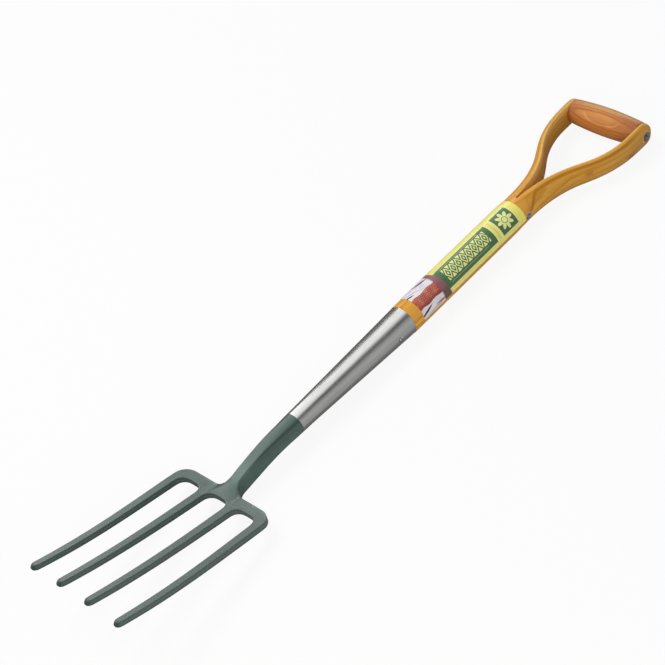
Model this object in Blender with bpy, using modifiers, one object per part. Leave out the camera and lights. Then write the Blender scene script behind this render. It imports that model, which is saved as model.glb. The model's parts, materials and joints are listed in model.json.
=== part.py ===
"""A four-tined border fork, built piece by piece: forged steel head, split wooden shaft, grip and rivets.

Units are metres. The shaft's axis runs along +Y, from the tines to the grip, and +Z is the front of the
fork, the side that the tines curve towards. The shapes are drawn in the tool's own frame, where Y = 0 is
the back edge of the shoulder and Z = 0 the shaft's axis. One empty then moves them all, so that the world
origin is the bottom centre of the fork's box as it lies on its back.
"""
from math import acos, cos, pi, radians, sin, tan

import bmesh
import bpy
from mathutils import Matrix, Vector

# Clearance between pieces that touch on the real fork, and how far a cutter or a buried end runs on
GAP = 0.0003
OVERRUN = 0.004

# Tines and shoulder
TINE_COUNT = 4
TINE_REACH = 0.221
TINE_PITCH_ROOT = 0.0438
TINE_PITCH_TIP = 0.0452
TINE_WIDTH_ROOT = 0.0100
TINE_WIDTH_TIP = 0.0072
TINE_DEPTH_ROOT = 0.0090
TINE_DEPTH_TIP = 0.0080
TIP_ROUNDING = 0.0030
TIP_TAPER = 0.012
TIP_THINNING = 0.06
TIP_LEAN = 0.0030
HEAD_SLOPE = radians(13.0)
TINE_SWEEP = 0.0112
OUTER_TINE_DROP = 0.0036
TINE_DROP_LENGTH = 0.177
SHOULDER_FACE_HEIGHT = 0.0004
SHOULDER_DEPTH = 0.014
SLOT_CORNER_RADIUS = 0.011
OUTER_CORNER_RADIUS = 0.0175
NECK_FILLET_RADIUS = 0.017
NECK_FILLET_FOOT = 0.0068
SHAPING_STEPS = 18

# Neck, from the shoulder to where the socket turns round
NECK_WIDTH = 0.0138
NECK_DEPTH = 0.0242
NECK_CORNER_RADIUS = 0.0025
NECK_FLARE = 0.006
NECK_FLARE_REACH = 0.011
NECK_FOOT_LENGTH = 0.045
NECK_BACK_FOOT_LENGTH = 0.022
NECK_DROP = 0.0040
NECK_CREST = 0.0036
NECK_CREST_AT = 0.080
NECK_LENGTH = 0.128
NECK_END_DIAMETER = 0.0282
NECK_WIDENING_FROM = 0.030
NECK_ROUNDING_FROM = 0.042
NECK_STEPS = 24

# Socket
SOCKET_LENGTH = 0.1755
SOCKET_MOUTH_DIAMETER = 0.0394
SOCKET_LEAN = 0.0034
SOCKET_WALL = 0.0018
TENON_LENGTH = 0.150
TENON_END_DIAMETER = 0.020
RING_POINTS = 36

# Wooden shaft
SHAFT_DIAMETER = 0.0400
KERF_WIDTH = 0.0026
ARM_BEND_OUT = 0.160
ARM_BEND_IN = 0.115
ARM_ANGLE = radians(32.0)
GRIP_OPENING = 0.1026
ARM_LENGTH = 0.182
ARM_THICKNESS = 0.0105
ARM_DEPTH = 0.0304
ARM_FULLNESS = 0.85
ARM_END_FULLNESS = 0.62
ARM_FLAT_LENGTH = 0.060
ARM_THINNING = 0.62
ARM_END_THICKNESS = 0.35
ARM_EDGE_EASING = 0.07
SPLIT_DEPTH = 0.0358
FLATTENED_LENGTH = 0.030
HALF_RING_POINTS = 16

# Grip
GRIP_END_DIAMETER = 0.0312
GRIP_MIDDLE_DIAMETER = 0.0365

# Rivets and washers
GRIP_RIVET_DIAMETER = 0.0056
WASHER_DIAMETER = 0.0130
WASHER_THICKNESS = 0.0012
WASHER_SEAT_DEPTH = 0.0012
GRIP_RIVET_HEAD = 0.0080
GRIP_RIVET_HEAD_HEIGHT = 0.0016
SPLIT_RIVET_DIAMETER = 0.0036
SPLIT_RIVET_SETBACK = 0.004
SPLIT_RIVET_HEAD = 0.0056
SPLIT_RIVET_HEAD_HEIGHT = 0.0011
SPLIT_WASHER_DIAMETER = 0.0090
SPLIT_WASHER_THICKNESS = 0.0009
SPLIT_SEAT_DEPTH = 0.0008
SOCKET_RIVET_DIAMETER = 0.0048
SOCKET_RIVET_HEAD = 0.0070
SOCKET_RIVET_HEAD_HEIGHT = 0.0020
SOCKET_RIVET_SETBACK = 0.0255
SEAT_CUTTER_LENGTH = 0.010
WASHER_EDGE = 0.45

# Paper labels
BARE_WOOD_LENGTH = 0.0150
BAND_LABEL_LENGTH = 0.0513
MAIN_LABEL_LENGTH = 0.1425
LABEL_TO_SPLIT = 0.0104
LABEL_THICKNESS = 0.00035
MAIN_LABEL_TURN = radians(25.0)
MAIN_LABEL_WRAP = radians(140.0)
BAND_LABEL_TURN = radians(25.0)
BAND_LABEL_WRAP = radians(144.0)

# Places that follow from the sizes above
SOCKET_MOUTH = NECK_LENGTH + SOCKET_LENGTH
SHAFT_RADIUS = SHAFT_DIAMETER / 2
BAND_LABEL_START = SOCKET_MOUTH + BARE_WOOD_LENGTH
MAIN_LABEL_START = BAND_LABEL_START + BAND_LABEL_LENGTH + GAP
MAIN_LABEL_END = MAIN_LABEL_START + MAIN_LABEL_LENGTH
SPLIT_AT = MAIN_LABEL_END + LABEL_TO_SPLIT
GRIP_AT = SPLIT_AT + ARM_LENGTH
FORK_END = GRIP_AT + max(ARM_DEPTH, GRIP_MIDDLE_DIAMETER) / 2
LOWEST = SHAFT_RADIUS


def clear_scene():
    """Removes every object, so that the model starts from nothing."""
    for old in list(bpy.data.objects):
        bpy.data.objects.remove(old, do_unlink=True)


def make_collection(name):
    collection = bpy.data.collections.new(name)
    bpy.context.scene.collection.children.link(collection)
    return collection


def make_material(name, colour, roughness, metallic=0.0):
    """A Principled material with one colour, roughness and metallic value."""
    material = bpy.data.materials.new(name)
    material.use_nodes = True
    shader = material.node_tree.nodes["Principled BSDF"]
    shader.inputs["Base Color"].default_value = (*colour, 1.0)
    shader.inputs["Roughness"].default_value = roughness
    shader.inputs["Metallic"].default_value = metallic
    return material


def add_mesh_object(name, mesh, collection, material=None):
    piece = bpy.data.objects.new(name, mesh)
    collection.objects.link(piece)
    if material:
        mesh.materials.append(material)
    return piece


def smooth(piece, angle=radians(35.0)):
    piece.data.shade_smooth()
    piece.data.set_sharp_from_angle(angle=angle)


def blend(start, end, share):
    return start + (end - start) * share


def ease(share):
    """A smooth step from 0 to 1."""
    share = min(max(share, 0.0), 1.0)
    return share * share * (3.0 - 2.0 * share)


def subtract(piece, cutter):
    """Cuts one object out of another with an exact Boolean, which stays on the piece."""
    cut = piece.modifiers.new("cut " + cutter.name, "BOOLEAN")
    cut.operation = "DIFFERENCE"
    cut.solver = "EXACT"
    cut.object = cutter
    cutter.hide_render = True
    cutter.display_type = "WIRE"


def turned(name, profile, collection, material, sides=24, ring=False):
    """A piece turned about the X axis, from a profile of (radius, place along X) down its outer side."""
    mesh = bpy.data.meshes.new(name)
    shape = bmesh.new()
    points = [shape.verts.new((radius, 0.0, height)) for radius, height in profile]
    for first, second in zip(points, points[1:]):
        shape.edges.new((first, second))
    if ring:
        shape.edges.new((points[-1], points[0]))
    shape.to_mesh(mesh)
    shape.free()
    piece = add_mesh_object(name, mesh, collection, material)
    screw = piece.modifiers.new("turn", "SCREW")
    screw.axis = "Z"
    screw.steps = sides
    screw.render_steps = sides
    screw.use_merge_vertices = True
    screw.merge_threshold = 0.00001
    screw.use_smooth_shade = False
    piece.rotation_euler = (0.0, pi / 2, 0.0)
    return piece


def rod(name, diameter, length, collection, sides=16):
    """A plain cylinder along X, centred on its own origin."""
    shape = bmesh.new()
    turn = Matrix.Rotation(pi / 2, 4, "Y")
    bmesh.ops.create_cone(shape, cap_ends=True, segments=sides, radius1=diameter / 2,
                          radius2=diameter / 2, depth=length, matrix=turn)
    mesh = bpy.data.meshes.new(name)
    shape.to_mesh(mesh)
    shape.free()
    return add_mesh_object(name, mesh, collection)


def front_height(y):
    """Height of the head's front face, which leans forward and sweeps up towards the tips."""
    reach = -y
    return SHOULDER_FACE_HEIGHT + tan(HEAD_SLOPE) * reach + TINE_SWEEP * (max(reach, 0.0) / TINE_REACH) ** 3


def head_depth(y):
    """Thickness of the plate and tines from front to back."""
    share = min(max(-y / TINE_REACH, 0.0), 1.0)
    return blend(TINE_DEPTH_ROOT, TINE_DEPTH_TIP, share)


def tine_centre(index, y):
    share = min(max(-y / TINE_REACH, 0.0), 1.0)
    return (index - (TINE_COUNT - 1) / 2) * blend(TINE_PITCH_ROOT, TINE_PITCH_TIP, share)


def tine_drop(x, y):
    """How much lower the outer tines lie than the inner ones, more and more towards their tips."""
    outwards = ease((abs(x) - TINE_PITCH_ROOT) / (TINE_PITCH_ROOT / 4))
    return OUTER_TINE_DROP * outwards * ease(-y / TINE_DROP_LENGTH)


def rounded_outline(corners, arc_points=6):
    """Points of a closed outline, with each corner (x, y, radius) replaced by an arc."""
    outline = []
    count = len(corners)
    for index, (x, y, radius) in enumerate(corners):
        corner = Vector((x, y))
        back = (Vector(corners[index - 1][:2]) - corner).normalized()
        ahead = (Vector(corners[(index + 1) % count][:2]) - corner).normalized()
        if radius == 0.0:
            outline.append(corner)
            continue
        half = acos(max(-1.0, min(1.0, back.dot(ahead)))) / 2
        centre = corner + (back + ahead).normalized() * (radius / sin(half))
        start = corner + back * (radius / tan(half)) - centre
        end = corner + ahead * (radius / tan(half)) - centre
        sweep = pi - 2 * half
        turn = 1.0 if start.x * end.y - start.y * end.x > 0 else -1.0
        for step in range(arc_points + 1):
            angle = turn * sweep * step / arc_points
            outline.append(centre + Vector((start.x * cos(angle) - start.y * sin(angle),
                                            start.x * sin(angle) + start.y * cos(angle))))
    return outline


def head_corners():
    """Corners of the head's flat outline: down each tine and up again, then round the shoulder."""
    corners = []
    for index in range(TINE_COUNT):
        root = tine_centre(index, 0.0)
        tip = tine_centre(index, -TINE_REACH)
        half_root = TINE_WIDTH_ROOT / 2
        half_tip = TINE_WIDTH_TIP / 2
        if index > 0:
            corners.append((root - half_root, -SHOULDER_DEPTH, SLOT_CORNER_RADIUS))
        corners.append((tip - half_tip, -TINE_REACH, TIP_ROUNDING))
        corners.append((tip + half_tip, -TINE_REACH, TIP_ROUNDING))
        if index < TINE_COUNT - 1:
            corners.append((root + half_root, -SHOULDER_DEPTH, SLOT_CORNER_RADIUS))
    outer = tine_centre(TINE_COUNT - 1, 0.0) + TINE_WIDTH_ROOT / 2
    stub_end = NECK_FILLET_RADIUS + OVERRUN
    corners += [(outer, 0.0, OUTER_CORNER_RADIUS),
                (NECK_FILLET_FOOT, 0.0, NECK_FILLET_RADIUS),
                (NECK_FILLET_FOOT, stub_end, 0.0),
                (-NECK_FILLET_FOOT, stub_end, 0.0),
                (-NECK_FILLET_FOOT, 0.0, NECK_FILLET_RADIUS),
                (-outer, 0.0, OUTER_CORNER_RADIUS)]
    return corners


def make_head_plate(collection):
    """The shoulder and tines: a flat outline given its thickness, then leaned and swept forward."""
    curve = bpy.data.curves.new("head_outline", "CURVE")
    curve.dimensions = "2D"
    curve.fill_mode = "BOTH"
    curve.extrude = 0.5
    outline = rounded_outline(head_corners())
    spline = curve.splines.new("POLY")
    spline.points.add(len(outline) - 1)
    for point, place in zip(spline.points, outline):
        point.co = (place.x, place.y, 0.0, 1.0)
    spline.use_cyclic_u = True
    flat = bpy.data.objects.new("head_outline", curve)
    collection.objects.link(flat)
    bpy.context.view_layer.update()
    mesh = bpy.data.meshes.new_from_object(flat.evaluated_get(bpy.context.evaluated_depsgraph_get()))
    bpy.data.objects.remove(flat, do_unlink=True)

    shape = bmesh.new()
    shape.from_mesh(mesh)
    bmesh.ops.remove_doubles(shape, verts=shape.verts, dist=0.00001)
    bmesh.ops.dissolve_limit(shape, angle_limit=radians(0.5), verts=shape.verts, edges=shape.edges)
    for step in range(1, SHAPING_STEPS):
        y = -TINE_REACH * step / SHAPING_STEPS
        bmesh.ops.bisect_plane(shape, geom=shape.verts[:] + shape.edges[:] + shape.faces[:],
                               plane_co=(0.0, y, 0.0), plane_no=(0.0, 1.0, 0.0), dist=0.00001)
    bmesh.ops.triangulate(shape, faces=shape.faces)
    bmesh.ops.dissolve_degenerate(shape, dist=0.00002, edges=shape.edges)
    bmesh.ops.triangulate(shape, faces=shape.faces)
    for vert in shape.verts:
        tip_share = ease((-vert.co.y - TINE_REACH + TIP_TAPER) / TIP_TAPER)
        if vert.co.z > 0:
            vert.co.y += TIP_LEAN * tip_share
        depth = head_depth(vert.co.y)
        nip = TIP_THINNING * depth * tip_share
        front = front_height(vert.co.y) - tine_drop(vert.co.x, vert.co.y)
        vert.co.z = front - nip if vert.co.z > 0 else front - depth + nip
    bmesh.ops.recalc_face_normals(shape, faces=shape.faces)
    shape.to_mesh(mesh)
    shape.free()
    return add_mesh_object("fork_head", mesh, collection)


def neck_section(y):
    """Half width, top, bottom and roundness of the neck and socket at one station."""
    if y >= NECK_LENGTH:
        share = (y - NECK_LENGTH) / SOCKET_LENGTH
        radius = blend(NECK_END_DIAMETER, SOCKET_MOUTH_DIAMETER, share) / 2
        lean = SOCKET_LEAN * (1.0 - share)
        return radius, lean + radius, lean - radius, 1.0
    round_share = ease((y - NECK_ROUNDING_FROM) / (NECK_LENGTH - NECK_ROUNDING_FROM))
    widening = ease((y - NECK_WIDENING_FROM) / (NECK_LENGTH - NECK_WIDENING_FROM))
    half_width = blend(NECK_WIDTH, NECK_END_DIAMETER, widening) / 2
    half_depth = blend(NECK_DEPTH, NECK_END_DIAMETER, round_share ** 2) / 2
    rise = ease(y / NECK_CREST_AT)
    settle = ease((y - NECK_CREST_AT) / (NECK_LENGTH - NECK_CREST_AT))
    centre = blend(-NECK_DROP, NECK_CREST, rise) + (SOCKET_LEAN - NECK_CREST) * settle
    foot = 1.0 - ease((y + SHOULDER_DEPTH) / NECK_FOOT_LENGTH)
    back_foot = 1.0 - ease((y + SHOULDER_DEPTH) / NECK_BACK_FOOT_LENGTH)
    plate_front = front_height(-SHOULDER_DEPTH) - GAP
    plate_back = plate_front - TINE_DEPTH_ROOT + 2 * GAP
    top = blend(centre + half_depth, plate_front, foot)
    bottom = blend(centre - half_depth, plate_back, back_foot)
    return half_width, top, bottom, round_share


def neck_flare(y, z):
    """How far the neck's sides spread where they meet the shoulder plate, in front of it and behind it."""
    above = front_height(y)
    below = above - TINE_DEPTH_ROOT
    away = max(z - above, below - z, 0.0) / NECK_FLARE_REACH
    fade = 1.0 - min(away, 1.0)
    along = 1.0 - ease(abs(y) / NECK_FLARE_REACH)
    return NECK_FLARE * along * fade ** 3


def ring_point(section, index):
    """A point on the outline of a rounded box, blended with the same point on an ellipse."""
    half_width, top, bottom, roundness = section
    half_depth = (top - bottom) / 2
    corner = min(NECK_CORNER_RADIUS, half_depth * 0.9)
    quarter = RING_POINTS // 4
    side = quarter // 3
    arc = quarter - side - 2
    quadrant, step = divmod(index, quarter)
    if quadrant % 2:
        step = quarter - step
    if step <= side:
        x, z = half_width, (half_depth - corner) * step / side
    elif step <= side + arc:
        turn = pi / 2 * (step - side) / arc
        x = half_width - corner + corner * cos(turn)
        z = half_depth - corner + corner * sin(turn)
    else:
        x, z = (half_width - corner) * (quarter - step) / 2, half_depth
    turn = pi / 2 * step / quarter
    x = blend(x, half_width * cos(turn), roundness)
    z = blend(z, half_depth * sin(turn), roundness)
    return (x if quadrant in (0, 3) else -x), (top + bottom) / 2 + (z if quadrant < 2 else -z)


def make_neck(collection):
    """The neck and socket as one loft, from inside the shoulder to the socket's mouth."""
    stations = [-SHOULDER_DEPTH * share for share in (0.95, 0.7, 0.45, 0.2)]
    stations += [NECK_LENGTH * step / NECK_STEPS for step in range(NECK_STEPS)]
    stations += [NECK_LENGTH + SOCKET_LENGTH * step / 4 for step in range(5)]
    shape = bmesh.new()
    rings = []
    for y in stations:
        section = neck_section(y)
        ring = []
        for index in range(RING_POINTS):
            x, z = ring_point(section, index)
            spread = neck_flare(y, z) * x / section[0]
            ring.append(shape.verts.new((x + spread, y, z)))
        rings.append(ring)
    for first, second in zip(rings, rings[1:]):
        for index in range(RING_POINTS):
            after = (index + 1) % RING_POINTS
            shape.faces.new((first[index], first[after], second[after], second[index]))
    shape.faces.new(rings[0])
    shape.faces.new(list(reversed(rings[-1])))
    bmesh.ops.recalc_face_normals(shape, faces=shape.faces)
    mesh = bpy.data.meshes.new("neck")
    shape.to_mesh(mesh)
    shape.free()
    return add_mesh_object("neck_form", mesh, collection)


def tenon_radius(y, clearance=0.0):
    """Radius of the shaft's tapered end, which fills the socket."""
    mouth = SOCKET_MOUTH_DIAMETER / 2 - SOCKET_WALL
    share = (SOCKET_MOUTH - y) / TENON_LENGTH
    return blend(mouth, TENON_END_DIAMETER / 2, share) + clearance


def make_bore(collection):
    """The socket's tapered bore, a little larger and deeper than the wooden tenon."""
    start = SOCKET_MOUTH - TENON_LENGTH - GAP
    end = SOCKET_MOUTH + OVERRUN
    shape = bmesh.new()
    turn = Matrix.Translation((0.0, (start + end) / 2, 0.0)) @ Matrix.Rotation(-pi / 2, 4, "X")
    bmesh.ops.create_cone(shape, cap_ends=True, segments=RING_POINTS, radius1=tenon_radius(start, GAP),
                          radius2=tenon_radius(end, GAP), depth=end - start, matrix=turn)
    mesh = bpy.data.meshes.new("socket_bore")
    shape.to_mesh(mesh)
    shape.free()
    return add_mesh_object("socket_bore", mesh, collection)


def arm_path():
    """Stations along an arm's inner face: (x, y, angle from the shaft's axis)."""
    start_x = KERF_WIDTH / 2
    end_x = GRIP_OPENING / 2
    out_run = ARM_BEND_OUT * (1 - cos(ARM_ANGLE))
    in_run = ARM_BEND_IN * (1 - cos(ARM_ANGLE))
    straight = (end_x - start_x - out_run - in_run) / sin(ARM_ANGLE)
    stations = [(start_x, SPLIT_AT, 0.0)]
    for step in range(1, 9):
        angle = ARM_ANGLE * step / 8
        stations.append((start_x + ARM_BEND_OUT * (1 - cos(angle)),
                         SPLIT_AT + ARM_BEND_OUT * sin(angle), angle))
    x, y, angle = stations[-1]
    x += straight * sin(ARM_ANGLE)
    y += straight * cos(ARM_ANGLE)
    stations.append((x, y, ARM_ANGLE))
    for step in range(1, 7):
        angle = ARM_ANGLE * (1 - step / 6)
        stations.append((x + ARM_BEND_IN * (cos(angle) - cos(ARM_ANGLE)),
                         y + ARM_BEND_IN * (sin(ARM_ANGLE) - sin(angle)), angle))
    return stations


def shank_half_depth(y):
    """Half depth of the shank from front to back: round, then planed a little flatter near the split."""
    share = ease((y - SPLIT_AT + FLATTENED_LENGTH) / FLATTENED_LENGTH)
    return blend(SHAFT_RADIUS, SPLIT_DEPTH / 2, share)


def shank_stations():
    """Places along the shank where its surface bends, with the main label's end among them."""
    start = SPLIT_AT - FLATTENED_LENGTH
    stations = [start + FLATTENED_LENGTH * step / 6 for step in range(7)]
    return sorted(stations + [MAIN_LABEL_END])


def arm_size(y):
    """Thickness and half depth of an arm's D-shaped section."""
    share = ease((y - SPLIT_AT) / (ARM_THINNING * ARM_LENGTH))
    thickness = blend(SHAFT_RADIUS - KERF_WIDTH / 2, ARM_THICKNESS, share)
    half_depth = blend(SPLIT_DEPTH, ARM_DEPTH, share) / 2
    return thickness, half_depth, share


def make_shaft(collection, material):
    """The ash shaft: tenon, round shank, and a D-shaped half that bends out, mirrored into two arms."""
    shape = bmesh.new()
    half_kerf = KERF_WIDTH / 2

    def body_ring(y, radius, half_depth):
        """Half of the round shank: its arc, and the two points where the halves meet."""
        limit = acos(half_kerf / radius)
        arc = []
        for index in range(HALF_RING_POINTS + 1):
            turn = limit * (2 * index / HALF_RING_POINTS - 1)
            arc.append(shape.verts.new((radius * cos(turn), y, half_depth * sin(turn))))
        low = shape.verts.new((0.0, y, -half_depth))
        high = shape.verts.new((0.0, y, half_depth))
        return [low] + arc + [high]

    def arm_ring(x, y, angle, thickness, half_depth, share, fullness):
        """A D-shaped section whose flat side is the arm's inner face, with its two edges eased."""
        outward = Vector((cos(angle), -sin(angle), 0.0))
        clip = half_kerf * (1.0 - share)
        limit = acos((clip / (thickness + clip)) ** (1.0 / fullness))
        arc = []
        for index in range(HALF_RING_POINTS + 1):
            turn = limit * (2 * index / HALF_RING_POINTS - 1)
            out = (thickness + clip) * cos(turn) ** fullness - clip
            rise = half_depth * abs(sin(turn)) ** fullness * (1 if turn > 0 else -1)
            if index in (0, HALF_RING_POINTS):
                rise *= 1.0 - ARM_EDGE_EASING * share
            arc.append(shape.verts.new(Vector((x, y, rise)) + outward * out))
        return arc

    def skin(first, second):
        for index in range(len(first) - 1):
            shape.faces.new((first[index], first[index + 1], second[index + 1], second[index]))

    mouth = SOCKET_MOUTH + GAP
    tenon_start = SOCKET_MOUTH - TENON_LENGTH
    body = [body_ring(tenon_start, tenon_radius(tenon_start), tenon_radius(tenon_start)),
            body_ring(mouth, tenon_radius(SOCKET_MOUTH), tenon_radius(SOCKET_MOUTH)),
            body_ring(mouth, SHAFT_RADIUS, SHAFT_RADIUS)]
    for y in shank_stations():
        body.append(body_ring(y, SHAFT_RADIUS, shank_half_depth(y)))
    shape.faces.new(body[0])
    for first, second in zip(body, body[1:]):
        skin(first, second)
    low, *crotch, high = body[-1]
    shape.faces.new((low, crotch[0], crotch[-1], high))

    path = arm_path()
    arms = [crotch]
    for x, y, angle in path[1:]:
        thickness, half_depth, share = arm_size(y)
        flat_share = ease((y - GRIP_AT + ARM_FLAT_LENGTH) / ARM_FLAT_LENGTH)
        fullness = blend(blend(1.0, ARM_FULLNESS, share), ARM_END_FULLNESS, flat_share)
        arms.append(arm_ring(x, y, angle, thickness, half_depth, share, fullness))
    end_x = path[-1][0]
    for step in range(6):
        swing = pi / 2 * step / 6
        arms.append(arm_ring(end_x, GRIP_AT + ARM_DEPTH / 2 * sin(swing), 0.0,
                             ARM_THICKNESS * blend(ARM_END_THICKNESS, 1.0, cos(swing)),
                             ARM_DEPTH / 2 * cos(swing), 1.0, ARM_END_FULLNESS))
    for first, second in zip(arms, arms[1:]):
        skin(first, second)
        shape.faces.new((first[-1], first[0], second[0], second[-1]))
    shape.faces.new(list(reversed(arms[-1])))
    bmesh.ops.recalc_face_normals(shape, faces=shape.faces)
    mesh = bpy.data.meshes.new("shaft")
    shape.to_mesh(mesh)
    shape.free()
    shaft = add_mesh_object("shaft", mesh, collection, material)
    mirror = shaft.modifiers.new("two halves", "MIRROR")
    mirror.use_axis = (True, False, False)
    mirror.merge_threshold = 0.00005
    return shaft


def make_grip(collection, material):
    """The barrel-shaped crossbar between the arms, bored for its rivet."""
    half = GRIP_OPENING / 2 - GAP
    steps = 10
    hole = GRIP_RIVET_DIAMETER / 2 + GAP
    profile = [(hole, half)]
    for index in range(steps + 1):
        share = 1 - 2 * index / steps
        swell = cos(share * pi / 2)
        radius = blend(GRIP_END_DIAMETER, GRIP_MIDDLE_DIAMETER, swell) / 2
        profile.append((radius, half * share))
    profile.append((hole, -half))
    grip = turned("grip", profile, collection, material, sides=28, ring=True)
    grip.location = (0.0, GRIP_AT, 0.0)
    return grip


def make_rivet(name, diameter, head_diameter, head_height, head_seat, y, collection, material):
    """A rod along X with a low domed head at each end, whose undersides are head_seat from the middle."""
    radius = diameter / 2
    head = head_diameter / 2
    dome = []
    for step in range(4):
        turn = pi / 2 * step / 3
        dome.append((head * sin(turn), head_height * cos(turn)))
    right_end = [(across, head_seat + rise) for across, rise in dome]
    left_end = [(across, -place) for across, place in reversed(right_end)]
    profile = right_end + [(radius, head_seat), (radius, -head_seat)] + left_end
    rivet = turned(name, profile, collection, material, sides=20)
    rivet.location = (0.0, y, 0.0)
    return rivet


def make_washer(name, bore, diameter, thickness, seat, side, y, collection, material):
    """A flat washer lying against a seat that faces away from the fork's middle."""
    inner = bore / 2 + GAP
    outer = diameter / 2
    edge = thickness * WASHER_EDGE
    profile = [(inner, thickness), (outer - edge, thickness), (outer, thickness - edge),
               (outer, 0.0), (inner, 0.0)]
    washer = turned(name, profile, collection, material, sides=20, ring=True)
    washer.location = (side * (seat + GAP), y, 0.0)
    washer.rotation_euler = (0.0, side * pi / 2, 0.0)
    return washer


def make_hole(name, diameter, length, y, collection, x=0.0):
    """A cutter for a round hole along X."""
    hole = rod(name, diameter, length, collection)
    hole.location = (x, y, 0.0)
    return hole


def make_label(name, start, length, middle, wrap, collection, material):
    """A thin paper label bent round part of the shank, as an open strip given its thickness."""
    columns = 16
    end = start + length
    rows = [start] + [y for y in shank_stations() if start < y < end] + [end]
    shape = bmesh.new()
    grid = []
    for y in rows:
        line = []
        for column in range(columns + 1):
            turn = middle + wrap * (column / columns - 0.5)
            line.append(shape.verts.new(((SHAFT_RADIUS + GAP) * sin(turn), y,
                                         (shank_half_depth(y) + GAP) * cos(turn))))
        grid.append(line)
    for first, second in zip(grid, grid[1:]):
        for index in range(columns):
            shape.faces.new((first[index], first[index + 1], second[index + 1], second[index]))
    mesh = bpy.data.meshes.new(name)
    shape.to_mesh(mesh)
    shape.free()
    label = add_mesh_object(name, mesh, collection, material)
    thick = label.modifiers.new("paper", "SOLIDIFY")
    thick.thickness = LABEL_THICKNESS
    thick.offset = 1.0
    return label


def main():
    clear_scene()
    parts = make_collection("border_fork")
    cutters = make_collection("cutters")
    green = make_material("painted_green_steel", (0.17, 0.22, 0.20), 0.45)
    steel = make_material("bare_steel", (0.55, 0.56, 0.56), 0.32, 1.0)
    ash = make_material("varnished_ash", (0.68, 0.36, 0.08), 0.35)
    red_wood = make_material("red_brown_wood", (0.50, 0.20, 0.08), 0.40)
    paper = make_material("yellow_paper", (0.85, 0.80, 0.22), 0.45)
    striped = make_material("striped_paper", (0.45, 0.08, 0.08), 0.45)

    head = make_head_plate(parts)
    head.data.materials.append(green)
    neck = make_neck(cutters)
    join = head.modifiers.new("forged in one", "BOOLEAN")
    join.operation = "UNION"
    join.solver = "EXACT"
    join.object = neck
    neck.hide_render = True
    neck.display_type = "WIRE"
    subtract(head, make_bore(cutters))
    shaft = make_shaft(parts, ash)
    make_grip(parts, red_wood)

    through = GRIP_OPENING + 2 * (ARM_THICKNESS + OVERRUN)
    arm_seat = GRIP_OPENING / 2 + ARM_THICKNESS - WASHER_SEAT_DEPTH
    make_rivet("grip_rivet", GRIP_RIVET_DIAMETER, GRIP_RIVET_HEAD, GRIP_RIVET_HEAD_HEIGHT,
               arm_seat + WASHER_THICKNESS + 2 * GAP, GRIP_AT, parts, steel)
    subtract(shaft, make_hole("grip_rivet_hole", GRIP_RIVET_DIAMETER + 2 * GAP, through, GRIP_AT, cutters))

    split_rivet_y = SPLIT_AT - SPLIT_RIVET_SETBACK
    split_seat = SHAFT_RADIUS - SPLIT_SEAT_DEPTH
    make_rivet("split_rivet", SPLIT_RIVET_DIAMETER, SPLIT_RIVET_HEAD, SPLIT_RIVET_HEAD_HEIGHT,
               split_seat + SPLIT_WASHER_THICKNESS + 2 * GAP, split_rivet_y, parts, steel)
    subtract(shaft, make_hole("split_rivet_hole", SPLIT_RIVET_DIAMETER + 2 * GAP, through,
                              split_rivet_y, cutters))

    for word, side in (("left", -1), ("right", 1)):
        make_washer("grip_washer_" + word, GRIP_RIVET_DIAMETER, WASHER_DIAMETER, WASHER_THICKNESS,
                    arm_seat, side, GRIP_AT, parts, steel)
        make_washer("split_washer_" + word, SPLIT_RIVET_DIAMETER, SPLIT_WASHER_DIAMETER,
                    SPLIT_WASHER_THICKNESS, split_seat, side, split_rivet_y, parts, steel)
        for place, seat, diameter, y in (("grip", arm_seat, WASHER_DIAMETER, GRIP_AT),
                                         ("split", split_seat, SPLIT_WASHER_DIAMETER, split_rivet_y)):
            recess = make_hole(place + "_seat_" + word, diameter + 2 * GAP, SEAT_CUTTER_LENGTH, y, cutters,
                               side * (seat + SEAT_CUTTER_LENGTH / 2))
            subtract(shaft, recess)

    socket_rivet_y = SOCKET_MOUTH - SOCKET_RIVET_SETBACK
    make_rivet("socket_rivet", SOCKET_RIVET_DIAMETER, SOCKET_RIVET_HEAD, SOCKET_RIVET_HEAD_HEIGHT,
               neck_section(socket_rivet_y)[0] + GAP, socket_rivet_y, parts, steel)
    socket_hole = make_hole("socket_rivet_hole", SOCKET_RIVET_DIAMETER + 2 * GAP, through,
                            socket_rivet_y, cutters)
    subtract(head, socket_hole)
    subtract(shaft, socket_hole)

    make_label("band_label", BAND_LABEL_START, BAND_LABEL_LENGTH, BAND_LABEL_TURN, BAND_LABEL_WRAP,
               parts, striped)
    make_label("main_label", MAIN_LABEL_START, MAIN_LABEL_LENGTH, MAIN_LABEL_TURN, MAIN_LABEL_WRAP,
               parts, paper)

    frame = bpy.data.objects.new("fork_frame", None)
    parts.objects.link(frame)
    frame.location = (0.0, (TINE_REACH - FORK_END) / 2, LOWEST)
    for piece in list(parts.objects) + list(cutters.objects):
        if piece.type == "MESH":
            piece.parent = frame
    for piece in parts.objects:
        if piece.type == "MESH":
            smooth(piece)


main()
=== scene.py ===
# %% [markdown]
# A border fork, dressed in Blender
#
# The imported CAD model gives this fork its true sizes. This lesson builds the looks around it: the
# forged head, the split ash shaft, the turned grip, its rivets and the two paper labels, each modelled
# by hand and given its finish. First comes the frame, so that every piece knows where it belongs.

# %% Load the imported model
import json
from math import acos, copysign, cos, pi, radians, sin, tan

import bmesh
import bpy
from mathutils import Matrix, Vector


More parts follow.
